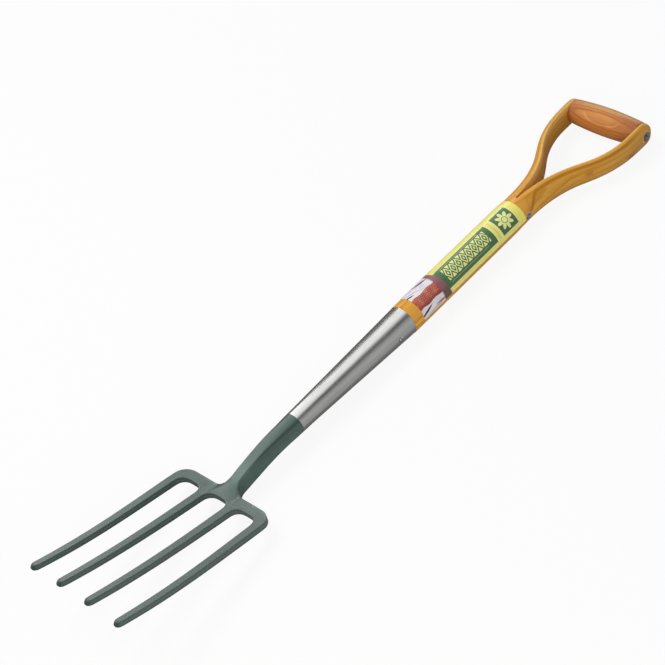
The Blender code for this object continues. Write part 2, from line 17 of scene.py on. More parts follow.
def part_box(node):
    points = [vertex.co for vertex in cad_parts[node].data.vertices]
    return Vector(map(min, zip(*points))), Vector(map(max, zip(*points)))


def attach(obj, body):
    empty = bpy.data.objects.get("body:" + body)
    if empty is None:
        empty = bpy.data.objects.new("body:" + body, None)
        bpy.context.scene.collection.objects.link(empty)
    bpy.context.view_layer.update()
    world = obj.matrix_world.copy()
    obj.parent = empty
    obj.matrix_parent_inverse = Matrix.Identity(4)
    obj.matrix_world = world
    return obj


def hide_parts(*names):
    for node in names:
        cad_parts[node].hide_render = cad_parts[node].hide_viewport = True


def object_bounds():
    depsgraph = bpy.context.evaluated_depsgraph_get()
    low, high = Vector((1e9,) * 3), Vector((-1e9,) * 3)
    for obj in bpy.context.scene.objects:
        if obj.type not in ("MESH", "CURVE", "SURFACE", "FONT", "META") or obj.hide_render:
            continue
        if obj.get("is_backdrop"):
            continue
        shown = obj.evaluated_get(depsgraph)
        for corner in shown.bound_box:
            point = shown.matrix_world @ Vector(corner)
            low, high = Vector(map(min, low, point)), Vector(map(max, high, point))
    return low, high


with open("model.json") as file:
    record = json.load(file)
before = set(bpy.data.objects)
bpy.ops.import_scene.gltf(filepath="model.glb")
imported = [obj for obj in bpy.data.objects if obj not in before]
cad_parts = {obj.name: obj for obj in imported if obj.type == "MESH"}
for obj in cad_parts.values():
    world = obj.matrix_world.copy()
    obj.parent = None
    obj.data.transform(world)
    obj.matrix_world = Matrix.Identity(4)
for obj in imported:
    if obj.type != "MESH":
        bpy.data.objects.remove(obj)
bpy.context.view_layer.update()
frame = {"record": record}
bpy.ops.object.select_all(action="DESELECT")

# %% [markdown]
# The fork is easiest to draw in its own frame: y = 0 is the back edge of the shoulder, where a boot
# would press, and z = 0 is the middle of the shaft. A piece is added at that place and keeps it as its
# object's location while it is shaped. Applying the location at the end puts the place into the mesh.

# %% Where the fork's own frame lies
grip_low, grip_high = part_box("grip")
shaft_low, shaft_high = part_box("shaft")
main_low, main_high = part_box("main_label")
band_low, band_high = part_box("band_label")
SHOULDER_Y = frame["record"]["mounts"][0]["pos_m"][1]
AXIS_Z = (grip_low.z + grip_high.z) / 2
FORK = (0.0, SHOULDER_Y, AXIS_Z)
GRIP_Y = (grip_low.y + grip_high.y) / 2 - SHOULDER_Y
LABEL_TO_SPLIT = 0.0104
SPLIT_Y = main_high.y - SHOULDER_Y + LABEL_TO_SPLIT
print("shoulder at", SHOULDER_Y, "axis height", round(AXIS_Z, 4), "grip at", round(GRIP_Y, 4))

# %% [markdown]
# Small tools used all through
#
# Modelling by hand is a round of selecting, extruding and dragging. In a script the selecting is done
# by a test on each vertex, edge or face, and the dragging by a formula for where each vertex belongs.
# A number stored on the vertices, their place on a ring, survives an extrusion, so the formula always
# knows which corner of the section it is moving.

# %% Tools for edit mode
SAME_PLACE = 0.00001


def open_cage():
    """The mesh being edited, as a bmesh."""
    return bmesh.from_edit_mesh(bpy.context.edit_object.data)


def refresh():
    bmesh.update_edit_mesh(bpy.context.edit_object.data)


def pick_all():
    bpy.ops.mesh.select_all(action="SELECT")


def begin(name):
    """Names the piece that was just added and enters edit mode on it."""
    piece = bpy.context.object
    piece.name = name
    bpy.ops.object.mode_set(mode="EDIT")
    return piece


def pick(kind, test):
    """Selects the vertices, edges or faces that pass a test, and nothing else."""
    bpy.ops.mesh.select_mode(type=kind)
    bpy.ops.mesh.select_all(action="DESELECT")
    cage = open_cage()
    parts = {"VERT": cage.verts, "EDGE": cage.edges, "FACE": cage.faces}[kind]
    found = [part for part in parts if test(part)]
    for part in found:
        part.select_set(True)
    refresh()
    return len(found)


def place_picked(formula):
    """Drags every selected vertex to where the formula puts it."""
    cage = open_cage()
    for vert in cage.verts:
        if vert.select:
            vert.co = Vector(formula(vert))
    refresh()


def numbers(name):
    """A layer of whole numbers on the vertices."""
    layers = open_cage().verts.layers.int
    return layers.get(name) or layers.new(name)


# %% Blends and steps
def blend(start, end, share):
    return start + (end - start) * share


def ease(share):
    """A smooth step from 0 to 1."""
    share = min(max(share, 0.0), 1.0)
    return share * share * (3.0 - 2.0 * share)


def steps_between(start, end, count):
    """Evenly spaced values after start, up to and including end."""
    return [blend(start, end, step / count) for step in range(1, count + 1)]


# %% [markdown]
# A finished piece is closed, its faces point outwards and its object sits at the origin. It then rides
# on the fork's one body, hides its CAD node, whose place it takes, and gets its finish.

# %% Finish a piece
def settle(piece, node, material, sharp=None):
    """Cleans a piece, puts its place into its mesh, gives it its material, puts it on the fork's body and
    hides its CAD node.
    """
    bpy.ops.object.mode_set(mode="EDIT")
    pick_all()
    bpy.ops.mesh.remove_doubles(threshold=SAME_PLACE)
    bpy.ops.mesh.normals_make_consistent(inside=False)
    bpy.ops.object.mode_set(mode="OBJECT")
    bpy.ops.object.transform_apply(location=True, rotation=True, scale=True)
    if sharp is None:
        bpy.ops.object.shade_smooth()
    else:
        bpy.ops.object.shade_smooth_by_angle(angle=radians(sharp))
    piece.data.materials.clear()
    piece.data.materials.append(material)
    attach(piece, "root")
    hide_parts(node)
    bpy.ops.object.select_all(action="DESELECT")
    print(piece.name, len(piece.data.polygons), "faces")


def apply_modifier(piece, kind, **settings):
    """Leaves edit mode, adds a modifier, sets it and applies it at once."""
    bpy.ops.object.mode_set(mode="OBJECT")
    bpy.context.view_layer.objects.active = piece
    modifier = piece.modifiers.new(kind.lower(), kind)
    for key, value in settings.items():
        setattr(modifier, key, value)
    bpy.ops.object.modifier_apply(modifier=modifier.name)


# %% [markdown]
# Finishes
#
# Each finish is one Principled shader with a small network in front of it. Three helpers keep the
# networks short: a node's output that takes ordinary arithmetic, a network to which every method adds
# a node, and a finish, which lays coats of colour one over another.

# %% Numbers that a network works out
def maths(operation):
    """A method that adds one Math node."""
    def method(value, other=0.0):
        return value.network.node("ShaderNodeMath", {0: value, 1: other}, operation=operation)
    return method


class Value:
    """A number that a node gives out. Arithmetic on it adds further nodes."""

    def __init__(self, network, socket):
        self.network, self.socket = network, socket

    __add__ = __radd__ = maths("ADD")
    __mul__ = __rmul__ = maths("MULTIPLY")
    __sub__, __truediv__, __abs__ = maths("SUBTRACT"), maths("DIVIDE"), maths("ABSOLUTE")
    fraction, root, sine, cosine = maths("FRACT"), maths("SQRT"), maths("SINE"), maths("COSINE")
    larger, turn_from = maths("MAXIMUM"), maths("ARCTAN2")

    def __rsub__(self, other):
        return self.network.node("ShaderNodeMath", {0: other, 1: self}, operation="SUBTRACT")

    def clamped(self):
        """The same number, kept between 0 and 1."""
        self.socket.node.use_clamp = True
        return self

    def step(self, start, end, low=0.0, high=1.0):
        """Goes smoothly from low to high as the number goes from start to end."""
        return self.network.node("ShaderNodeMapRange", {0: self, 1: start, 2: end, 3: low, 4: high},
                                 interpolation_type="SMOOTHSTEP")

    def between(self, start, end, soft):
        """1 between start and end, 0 outside, with soft edges."""
        return self.step(start - soft, start + soft) * self.step(end + soft, end - soft)


def squares(first, second):
    """The sum of two squares."""
    return first * first + second * second


# %% Node networks
class Network:
    """A node tree under construction."""

    def __init__(self, tree):
        self.tree = tree

    def feed(self, socket, value):
        value = getattr(value, "socket", value)
        if isinstance(value, bpy.types.NodeSocket):
            self.tree.links.new(value, socket)
        elif socket.type == "RGBA":
            socket.default_value = (*value, 1.0)
        else:
            socket.default_value = value

    def node(self, kind, inputs, output=0, **settings):
        made = self.tree.nodes.new(kind)
        for key, value in settings.items():
            setattr(made, key, value)
        for key, value in inputs.items():
            self.feed(made.inputs[key], value)
        return Value(self, made.outputs[output])

    def seen(self):
        """1 for rays that look, straight or in a mirror or through glass, 0 for those that gather light."""
        path = self.tree.nodes.new("ShaderNodeLightPath").outputs
        camera, glossy, through = [Value(self, path["Is " + kind + " Ray"])
                                   for kind in ("Camera", "Glossy", "Transmission")]
        return camera.larger(glossy).larger(through)


# %% Finishes as networks
class Finish(Network):
    """A material whose Principled shader is fed by a network."""

    def __init__(self, name, **sockets):
        self.material = bpy.data.materials.new(name)
        self.material.use_nodes = True
        super().__init__(self.material.node_tree)
        self.shader = self.tree.nodes["Principled BSDF"]
        for key, value in sockets.items():
            self.feed(self.shader.inputs[key.replace("_", " ")], value)

    def set(self, **sockets):
        """Feeds the shader and gives back the finished material."""
        for key, value in sockets.items():
            self.feed(self.shader.inputs[key.replace("_", " ")], value)
        print(self.material.name, len(self.tree.nodes), "nodes")
        return self.material

    def mix(self, share, first, second):
        return self.node("ShaderNodeMix", {0: share, 6: first, 7: second}, 2, data_type="RGBA")

    def coats(self, colour, *coats):
        """Lays coats over a colour, one after another, each given as (share, ink)."""
        for share, ink in coats:
            colour = self.mix(share, colour, ink)
        return colour

    def place(self, scale=(1.0, 1.0, 1.0), source=None):
        """Object coordinates, or another source, scaled."""
        source = source or self.node("ShaderNodeTexCoord", {}, "Object")
        return self.node("ShaderNodeMapping", {"Vector": source, "Scale": scale})

    def axes(self, source=None):
        split = self.tree.nodes.new("ShaderNodeSeparateXYZ")
        self.feed(split.inputs[0], source or self.place())
        return [Value(self, output) for output in split.outputs]

    def noise(self, scale, detail=2.0, roughness=0.5, source=None):
        """Noise of one scale, or with one scale for each axis, which stretches it."""
        stretch, scale = (scale, 1.0) if isinstance(scale, tuple) else ((1.0, 1.0, 1.0), scale)
        return self.node("ShaderNodeTexNoise", {"Vector": self.place(stretch, source), "Scale": scale,
                                                "Detail": detail, "Roughness": roughness})

    def bump(self, height, distance, strength=1.0, **under):
        """Relief from a height, if need be over other relief, given as Normal."""
        return self.node("ShaderNodeBump", {"Height": height, "Distance": distance,
                                            "Strength": strength, **under})

    def glow(self, strength, under=None, share=1.0):
        """Makes the surface shine white by itself, or by a share over what lies under it."""
        light = self.node("ShaderNodeEmission", {"Color": (1.0, 1.0, 1.0), "Strength": strength})
        if under is not None:
            light = self.node("ShaderNodeMixShader", {0: share, 1: under, 2: light})
        self.feed(self.tree.nodes["Material Output"].inputs["Surface"], light)
        return self.material


# %% [markdown]
# The forged head
#
# On the real fork the tines, the shoulder, the neck and the socket are one forging. The front is flat
# with crisp edges, the slots between the tines end in round corners, and the flat middle of the
# shoulder runs straight on into the neck, which turns from a deep bar into a round socket. A
# subdivision cage suits this well: a coarse cage holds the form, and partly sharp creases keep the
# forged edges tight but never razor-like. The sizes are those of the CAD model.

# %% The head's sizes
TINE_REACH = 0.221
TINE_PITCH = (0.0438, 0.0452)
HEAD_DEPTH = (0.0090, 0.0080)
HEAD_SLOPE = radians(13.0)
TINE_SWEEP = 0.0112
OUTER_TINE_DROP = 0.0036
TIP_LEAN = 0.0030
SHOULDER_DEPTH = 0.014
NECK_LENGTH = 0.128
NECK_BASE_Y = 0.003
SOCKET_LENGTH = 0.1755
SOCKET_FOOT_RADIUS = 0.0141
MOUTH_Y = NECK_LENGTH + SOCKET_LENGTH
MOUTH_RADIUS = 0.0197
BORE_RADIUS = 0.0182
TENON_START_Y = MOUTH_Y - 0.150
TENON_TIP_RADIUS = 0.0100
PAINT_END = 0.1125
TIP_RUN = 0.012
# Where the neck starts to widen, to turn round and to lie level
WIDEN_Y, ROUND_Y, LEVEL_Y = 0.030, 0.042, 0.080

# The plan of the shoulder, from the middle to the right: its back edge and its front edge, in mm
BACK_EDGE = ((0.0, 5.2), (11.2, 5.2), (16.0, 1.6), (21.4, -0.1), (27.0, 0.0), (34.4, 0.0), (43.8, 0.0),
             (50.5, 0.0), (58.8, -0.2), (66.0, -4.7), (70.5, -11.9))
FRONT_EDGE = ((0.0, -14.0), (10.4, -13.8), (17.0, -20.4), (21.9, -21.5), (26.8, -20.4), (33.3, -13.8),
              (43.8, -14.0), (54.3, -13.8), (60.8, -20.4), (65.7, -21.5), (70.7, -21.5))
# Stations down a tine, in mm from the shoulder's back edge, each with the tine's width there
TINE_STATIONS = ((29, 9.8), (45, 9.5), (65, 9.2), (90, 8.8), (115, 8.5), (140, 8.2), (165, 7.9), (188, 7.6),
                 (205, 7.3), (212, 7.2), (216, 6.8), (218.6, 5.9), (220.2, 4.1), (221, 1.9))
# The blunt end's depth at the last stations, as a share of full depth
TIP_DEPTHS = ((218.6, 0.97), (220.2, 0.92), (221, 0.87))
NECK_STATIONS = (10.5, 17, 24, 33, 42, 54, 66, 78, 90, 102, 114, 128, 150, 190, 240, 285, 300, 303.5)


print("head", TINE_REACH + MOUTH_Y, "long with", len(TINE_STATIONS), "stations on each tine")


# %% The head's forms
def head_front(y):
    """Height of the head's front face: it leans forward and sweeps up towards the tips."""
    return 0.0004 - tan(HEAD_SLOPE) * y + TINE_SWEEP * (max(-y, 0.0) / TINE_REACH) ** 3


def outer_drop(x, y):
    """The outer tines lie a little lower than the inner ones, more so towards the tips."""
    outwards = ease((abs(x) - TINE_PITCH[0]) / 0.011)
    return OUTER_TINE_DROP * outwards * ease(-y / 0.177)


def neck_section(y):
    """Half width, top, bottom and roundness of the neck and socket at one station."""
    if y >= NECK_LENGTH:
        share = (y - NECK_LENGTH) / SOCKET_LENGTH
        radius = blend(SOCKET_FOOT_RADIUS, MOUTH_RADIUS, share)
        lean = 0.0034 * (1.0 - share)
        return radius, lean + radius, lean - radius, 1.0
    roundness = ease((y - ROUND_Y) / (NECK_LENGTH - ROUND_Y))
    half_width = blend(0.0070, SOCKET_FOOT_RADIUS, ease((y - WIDEN_Y) / (NECK_LENGTH - WIDEN_Y)))
    half_depth = blend(0.0122, SOCKET_FOOT_RADIUS, roundness ** 2)
    sag = 0.0002 * ease((y - LEVEL_Y) / (NECK_LENGTH - LEVEL_Y))
    centre = blend(-0.0040, 0.0036, ease(y / LEVEL_Y)) - sag
    foot = 1.0 - ease((y + SHOULDER_DEPTH) / 0.045)
    back_foot = 1.0 - ease((y + SHOULDER_DEPTH) / 0.022)
    front = head_front(-SHOULDER_DEPTH)
    top = blend(centre + half_depth, front, foot)
    bottom = blend(centre - half_depth, front - HEAD_DEPTH[0], back_foot)
    return half_width, top, bottom, roundness


# %% [markdown]
# Painted and bare steel
#
# The head is dipped in a grey-green paint up to a clean line round the neck. Above it the steel is
# brushed along its length. One shader serves both: where the paint ends, it turns metallic. The paint
# has the faint stipple of a thick coat, and the steel has long fine scratches. A lighter line along the
# middle of the sides is a painted highlight. Darker paint along the tines' back rims, along the neck's
# upper corners and on the top of the neck is painted shade, and the last millimetres of the tips are
# darker too.

# %% Paint and steel
finish = Finish("painted_steel")
x, y, z = finish.axes()
y = y - SHOULDER_Y
wobble = (finish.noise(90.0, 1.0) - 0.5) * 0.0008
bare = (y + wobble).step(PAINT_END - 0.0002, PAINT_END + 0.0002)
stipple = finish.noise(1400.0, 2.0, 0.6)
mottle = finish.noise(55.0, 3.0, 0.6)
# A layer on the head's cage marks where light and shade are painted along its edges.
edge = finish.node("ShaderNodeAttribute", {}, "Fac", attribute_name="edge_tone")
tips = y.step(-0.213, -0.2195)
# Painted shade along the tines' back rims and the neck's upper corners, and darker paint on the last
# millimetres of the tips; the same mask lowers the paint's shine.
rim_shade_and_dark_tips = tips.larger(edge.step(-0.5, -0.92)) * 0.8
light = (0.17, 0.24, 0.21)
# The coats: a greener neck, painted shade on the top of the neck, mottle, stipple, a painted highlight line
# along the middle of the sides, then the painted shade of the rims with the darker tips.
paint = finish.coats(
    (0.061, 0.096, 0.082), (y.step(-0.02, 0.03), (0.082, 0.152, 0.125)),
    (y.step(0.022, 0.055) * z.step(AXIS_Z, AXIS_Z + 0.008) * 0.6, (0.030, 0.066, 0.054)),
    (mottle.step(0.35, 0.75, 0.0, 0.35), (0.050, 0.080, 0.066)),
    (stipple.step(0.55, 0.80, 0.0, 0.22), light), (edge.step(0.68, 0.92, 0.0, 0.30), light),
    (rim_shade_and_dark_tips, (0.024, 0.044, 0.036)))
scratches = finish.noise((1500.0, 28.0, 1500.0), 4.0, 0.6)
smears = finish.noise((160.0, 30.0, 160.0), 3.0, 0.55)
steel = finish.coats((0.70, 0.70, 0.69), (scratches.step(0.3, 0.7), (0.81, 0.81, 0.80)),
                     (smears.step(0.45, 0.75, 0.0, 0.25), (0.62, 0.62, 0.60)))
rough = finish.node("ShaderNodeMix", {0: bare, 2: mottle.step(0.3, 0.8, 0.26, 0.36),
                                      3: scratches.step(0.25, 0.75, 0.17, 0.30)}, data_type="FLOAT")
paint_bump = finish.bump(stipple * (1.0 - bare), 0.00012, 0.35)
painted_steel = finish.set(Base_Color=finish.mix(bare, paint, steel), Metallic=bare, Roughness=rough,
                           Normal=finish.bump(scratches * bare, 0.00006, 0.35, Normal=paint_bump),
                           Specular_IOR_Level=0.85 - rim_shade_and_dark_tips * 0.7)

# %% [markdown]
# Wood
#
# Ash has bold, open grain: each year's ring starts with a row of large pores, which show as darker
# dashes along the stick. The ring pattern comes from the distance to the middle of the tree, some way
# outside the stick, so that bold lines run lengthwise and drift slowly. A clear coat lies on top.

# %% Rings and marks in wood
VARNISH = {"Coat_Roughness": 0.12, "Roughness": 0.42}


def rings(first, second, spacing, wander):
    """Dark lines where each year's ring starts, from two distances to the middle of the tree."""
    ring = ((squares(first, second).root() + wander) / spacing).fraction()
    return ring.step(0.0, 0.10) * ring.step(0.62, 0.16)


def arm_marks(x, y, z, drift):
    """Dark streaks that start at the split, and two small knots, on the right arm."""
    right = x.step(0.002, 0.004)
    turn = z.turn_from(x) + drift * 0.35
    foot = SPLIT_Y - 0.002
    for rise, strength in ((0.030, 0.75), (0.010, 0.22)):
        away = abs(turn - y.step(foot, foot + rise, 0.30, 1.16))
        streak = away.step(0.21, 0.03) * y.step(foot - 0.002, foot + 0.004)
        yield streak * right * y.step(GRIP_Y + 0.01, GRIP_Y - 0.03) * strength, (0.40, 0.130, 0.004)
    for along, height, reach in ((0.0794, 0.0035, 0.0075), (0.0215, -0.0065, 0.009)):
        away = squares((y - (GRIP_Y - along)) / reach, (z - height) / (0.5 * reach))
        yield away.step(1.0, 0.0) * right * 0.5, (0.29, 0.095, 0.024)


# %% Ash
finish = Finish("varnished_ash", Coat_Weight=0.12, Specular_IOR_Level=0.25, **VARNISH)
straight = finish.node("ShaderNodeAttribute", {}, "Vector", attribute_name="grain_place")
x, y, z = finish.axes(straight)
drift = finish.noise((11.0, 3.6, 11.0), 2.0, source=straight)
early = rings(x + 0.045, z + 0.060, 0.0052, drift * 0.016)
fibre = finish.noise((900.0, 16.0, 900.0), 4.0, 0.65, straight)
cloud = finish.noise((30.0, 7.0, 30.0), 3.0, 0.5, straight)
pores = finish.noise((1700.0, 110.0, 1700.0), 2.0, 0.5, straight)
arm = y.step(GRIP_Y - 0.185, GRIP_Y - 0.12)
# Darker towards the grip, and on the arms darker on their undersides, which is painted shade.
darker_near_grip_and_underside = y.step(GRIP_Y - 0.09, GRIP_Y + 0.01, 0.0, 0.45) + z.step(0.006, -0.010) * arm * 0.55
# A lighter band along the arms' inner top corners is a painted highlight.
rim_highlight = abs(x).step(0.0046, 0.0020) * z.step(0.006, 0.011)
dash = pores.step(0.56, 0.72) * (early * 0.75 + 0.22)
colour = finish.coats(
    (0.74, 0.350, 0.034), (cloud.step(0.3, 0.7), (0.92, 0.480, 0.085)),
    (arm * 0.35, (0.52, 0.222, 0.010)), (darker_near_grip_and_underside.clamped(), (0.46, 0.245, 0.036)),
    (early * 0.62, (0.52, 0.200, 0.008)), (fibre.step(0.45, 0.80, 0.0, 0.40), (0.90, 0.54, 0.13)),
    (rim_highlight * arm * 0.6, (0.95, 0.62, 0.18)), (dash * 0.55, (0.34, 0.120, 0.006)),
    *arm_marks(x, y, z, drift))
ash = finish.set(Base_Color=colour, Normal=finish.bump(fibre - dash, 0.00008, 0.30))

# %% [markdown]
# The grip's wood is redder and finer. At its front a ring is grazed, which leaves a pale oval, and its
# ends are darker. Its upper back side is painted lighter, a painted highlight.

# %% The grip's wood
finish = Finish("red_brown_wood", Coat_Weight=0.15, Specular_IOR_Level=0.3, **VARNISH)
x, y, z = finish.axes()
y, z = y - (SHOULDER_Y + GRIP_Y), z - AXIS_Z
early = rings(y + 0.050, z - 0.052, 0.0030, finish.noise((14.0, 40.0, 40.0)) * 0.0022)
fibre = finish.noise((22.0, 800.0, 800.0), 4.0, 0.65)
rise = y * 0.85 + z * 0.52
oval = squares(x / 0.027, (rise + 0.001) / 0.0085) + fibre * 0.5
ends = x.step(0.012, 0.046, 0.0, 0.65) + x.step(-0.026, -0.050, 0.0, 0.45)
# The last coat makes the grip's upper back side lighter: a painted highlight.
colour = finish.coats(
    (0.60, 0.225, 0.040), (early * 0.75, (0.38, 0.110, 0.022)),
    (fibre.step(0.48, 0.72, 0.0, 0.62), (0.33, 0.092, 0.022)),
    (fibre.step(0.45, 0.20, 0.0, 0.40), (0.80, 0.38, 0.10)),
    (oval.step(1.1, 0.3, 0.0, 0.35), (0.80, 0.37, 0.085)),
    (oval.between(1.05, 1.3, 0.12) * rise.step(0.002, -0.004) * 0.34, (0.92, 0.52, 0.20)),
    (ends, (0.33, 0.095, 0.026)),
    ((y + z * 0.8).step(0.013, 0.021, 0.0, 0.55), (0.74, 0.43, 0.09)))
red_wood = finish.set(Base_Color=colour, Normal=finish.bump(fibre, 0.00006, 0.25))

# %% [markdown]
# Rivets and washers are plain steel, a little uneven in shine and tone, and painted darker at the grip.
# This darker paint is a painted dark reflection.

# %% Rivet steel
finish = Finish("rivet_steel", Metallic=1.0)
grime = finish.noise(420.0, 3.0, 0.6)
y = finish.axes()[1] - (SHOULDER_Y + GRIP_Y)
# The rivet and washers at the grip are painted darker: a painted dark reflection.
colour = finish.coats((0.78, 0.78, 0.78), (y.step(-0.06, -0.05), (0.34, 0.37, 0.40)),
                      (grime.step(0.35, 0.7), (0.13, 0.14, 0.16)))
rivet_steel = finish.set(Base_Color=colour, Roughness=grime.step(0.3, 0.7, 0.24, 0.45),
                         Normal=finish.bump(finish.noise(2600.0), 0.00005, 0.3))

# %% [markdown]
# Printed paper
#
# A printed label is flat areas of ink inside sharp outlines. On the label's own UV map, in
# millimetres, a stripe is all that lies between two values, and any other shape is a measure that
# stays below a limit: a lozenge adds up its two distances, a rosette lets its radius swing with the
# angle. The designs are plain ornament of no maker.

# %% What both labels share
PAPER = {"Coat_Weight": 0.28, "Coat_Roughness": 0.08, "Roughness": 0.45}
LEMON, PRINT_GREEN, PALE = (0.90, 0.85, 0.23), (0.062, 0.165, 0.062), (0.84, 0.86, 0.34)


def label_axes(finish, width, length):
    """Millimetres across and along a label, from its UV map."""
    u, v = finish.axes(finish.node("ShaderNodeTexCoord", {}, "UV"))[:2]
    return u * width, v * length


def printed(finish, *print_coats):
    """The finished paper: its print, and the faint fibre of its surface."""
    fibre = finish.noise(900.0)
    return finish.set(Base_Color=finish.coats(*print_coats), Normal=finish.bump(fibre, 0.00003, 0.25))


# %% [markdown]
# The main label has a lemon ground, a long green panel with a chain of lozenges between dotted lines,
# and a square green panel with a rosette.

# %% The main label's ornament
def lozenge_chain(across, along):
    middle = abs(across - 26.8)
    from_cell = abs(((along - 4.6) / 9.8).fraction() - 0.5) * 9.8
    lozenge = middle / 8.6 + from_cell / 4.9
    shapes = lozenge.between(0.64, 0.97, 0.02) + lozenge.step(0.30, 0.26)
    shapes = (shapes + lozenge.step(1.32, 1.36)).clamped()
    return shapes * middle.step(8.6, 8.5) * along.between(4.6, 83.0, 0.1)


def dotted_lines(across, along):
    dots = (along / 1.7).fraction().step(0.65, 0.55)
    lines = across.between(16.0, 16.8, 0.1) + across.between(37.7, 38.5, 0.1)
    return lines * dots * along.between(5.0, 76.0, 0.1)


def rosette(across, along):
    up, sideways = along - 115.8, across - 28.2
    radius = squares(up, sideways).root()
    petal = (up.turn_from(sideways) * 4.0).cosine()
    flower = (radius - (abs(petal) * 6.6 + 5.6)).step(0.15, -0.15)
    return (flower - radius.between(3.6, 4.4, 0.1)).clamped()


# %% The main label's print
finish = Finish("yellow_paper", **PAPER)
across, along = label_axes(finish, 50.1, 142.5)
inside = across.between(14.0, 42.8, 0.12)
panel = inside * along.step(90.6, 90.3)
square = inside * along.between(101.7, 129.9, 0.12)
rule = along.between(94.6, 97.4, 0.1) * inside * (across / 1.9).fraction().step(0.5, 0.6)
edges = across.between(11.7, 12.0, 0.06) + across.between(45.3, 45.6, 0.06)
main_paper = printed(
    finish, LEMON, (finish.noise(60.0, 3.0, 0.6).step(0.3, 0.8, 0.0, 0.5), (0.86, 0.80, 0.27)),
    (along.step(129.0, 137.0, 0.0, 0.75), (0.96, 0.82, 0.14)),
    ((panel + square).clamped(), PRINT_GREEN), (lozenge_chain(across, along) * panel, PALE),
    (dotted_lines(across, along) * 0.6, PALE), (rosette(across, along) * square, PALE),
    ((rule + edges).clamped() * 0.6, (0.38, 0.40, 0.08)))

# %% [markdown]
# The band label is white with slender leaves of ink and a broad red stripe down its middle. The main
# label's end laps over its upper edge at a slant.

# %% The band label's inks and leaves
WHITE, RED, DEEP_RED = (0.84, 0.79, 0.83), (0.54, 0.130, 0.085), (0.30, 0.035, 0.030)
NAVY, MAUVE = (0.030, 0.030, 0.080), (0.27, 0.100, 0.120)
# Each leaf's start and end as (along, across), its width and its ink
LEAVES = (((-6.0, 48.2), (19.5, 40.6), 3.4, NAVY), ((-5.0, 13.2), (11.0, 17.6), 2.6, NAVY),
          ((16.0, 5.8), (40.0, 12.0), 3.8, NAVY), ((22.0, 46.0), (44.0, 47.0), 2.4, MAUVE),
          ((-8.0, 6.0), (27.0, 20.5), 1.1, MAUVE), ((2.0, 50.0), (46.0, 48.0), 1.4, RED))


def leaf(along, across, start, end, width):
    share = (along - start[0]) / (end[0] - start[0])
    line = share * (end[1] - start[1]) + start[1]
    half = share * (1.0 - share) * (2.0 * width)
    return (abs(across - line) - half).step(0.05, -0.25)


# %% The band label's print
def red_stripe(finish, across, along, wave):
    """Uneven red ink with a small woven pattern, darker on one side."""
    weave = (along * 2.5).sine() * ((across + wave) * 1.25).sine()
    weave = weave.step(0.05, 0.35) * along.between(6.0, 34.0, 1.0)
    return finish.coats(DEEP_RED, (finish.noise(150.0).step(0.35, 0.65), RED),
                        (weave * 0.55, (0.86, 0.38, 0.20)),
                        (across.step(32.5, 35.5, 0.0, 0.85), DEEP_RED))


finish = Finish("striped_paper", **PAPER)
across, along = label_axes(finish, 51.5, 51.3)
wave = (along * 0.3).sine() * 0.7
end_ink = finish.mix(across.step(33.0, 42.0, 0.0, 0.8), MAUVE, (0.125, 0.070, 0.060))
next_label = finish.mix(across.between(14.8, 43.4, 0.12), LEMON, PRINT_GREEN)
band_paper = printed(
    finish, WHITE, (finish.noise(70.0).step(0.45, 0.7, 0.0, 0.5), (0.60, 0.56, 0.66)),
    *[(leaf(along, across, start, end, width), ink) for start, end, width, ink in LEAVES],
    (abs(across - 30.0 + wave).step(8.3, 8.0), red_stripe(finish, across, along, wave)),
    ((along + wave * 1.6).step(36.0, 39.5), end_ink),
    ((along - across * 0.13).step(44.2, 44.9), next_label))

# %% [markdown]
# The cage starts as a flat grid of twenty by one faces. Its columns are dragged to the plan of the
# shoulder, the short edges where the tines begin are extruded along each tine, and the whole sheet is
# then extruded down to give it its thickness. One extra loop round the sides keeps them flat.

# %% Lay out the shoulder and the tines
bpy.ops.mesh.primitive_grid_add(x_subdivisions=20, y_subdivisions=1, size=2.0, location=FORK)
head = begin("forged_head")


def shoulder_point(vert):
    column = round(vert.co.x * 10)
    across, along = (BACK_EDGE if vert.co.y > 0 else FRONT_EDGE)[abs(column)]
    return copysign(across, column) / 1000, along / 1000, 0.0


place_picked(shoulder_point)
pick("EDGE", lambda edge: all(vert.co.y < -0.017 and abs(vert.co.x) > 0.016 for vert in edge.verts))
for reach, width in TINE_STATIONS:
    y = -reach / 1000

    def tine_point(vert, y=y, width=width / 1000):
        old_share = max(-vert.co.y / TINE_REACH, 0.0)
        index = round(vert.co.x / blend(*TINE_PITCH, old_share) + 1.5) - 1.5
        side = vert.co.x - index * blend(*TINE_PITCH, old_share)
        side = 0.0 if abs(side) < 0.001 else copysign(width / 2, side)
        return index * blend(*TINE_PITCH, -y / TINE_REACH) + side, y, 0.0

    bpy.ops.mesh.extrude_edges_move()
    place_picked(tine_point)
print("flat sheet", len(open_cage().verts), "vertices")

# %% Give the sheet its thickness
bpy.ops.mesh.select_mode(type="FACE")
pick_all()
bpy.ops.mesh.extrude_region_move(TRANSFORM_OT_translate={"value": (0.0, 0.0, -HEAD_DEPTH[0])})
pick("EDGE", lambda edge: abs(edge.verts[0].co.z - edge.verts[1].co.z) > 0.004)
bpy.ops.mesh.subdivide(number_cuts=1)
print("thick sheet", len(open_cage().verts), "vertices")


# %% Mark the rings and lean the sheet
def ring_layers():
    """Where a vertex sits across, up and on which level. A new layer moves the others: hence twice."""
    names = ("across", "upright", "level")
    return [[numbers(name) for name in names] for attempt in range(2)][1]


across, upright, level = ring_layers()
for vert in open_cage().verts:
    vert[level] = 1 - round(-2 * vert.co.z / HEAD_DEPTH[0])
    if vert.co.y > NECK_BASE_Y:
        vert[across] = (vert.co.x > 0.001) - (vert.co.x < -0.001)
        vert[upright] = vert[level]
refresh()


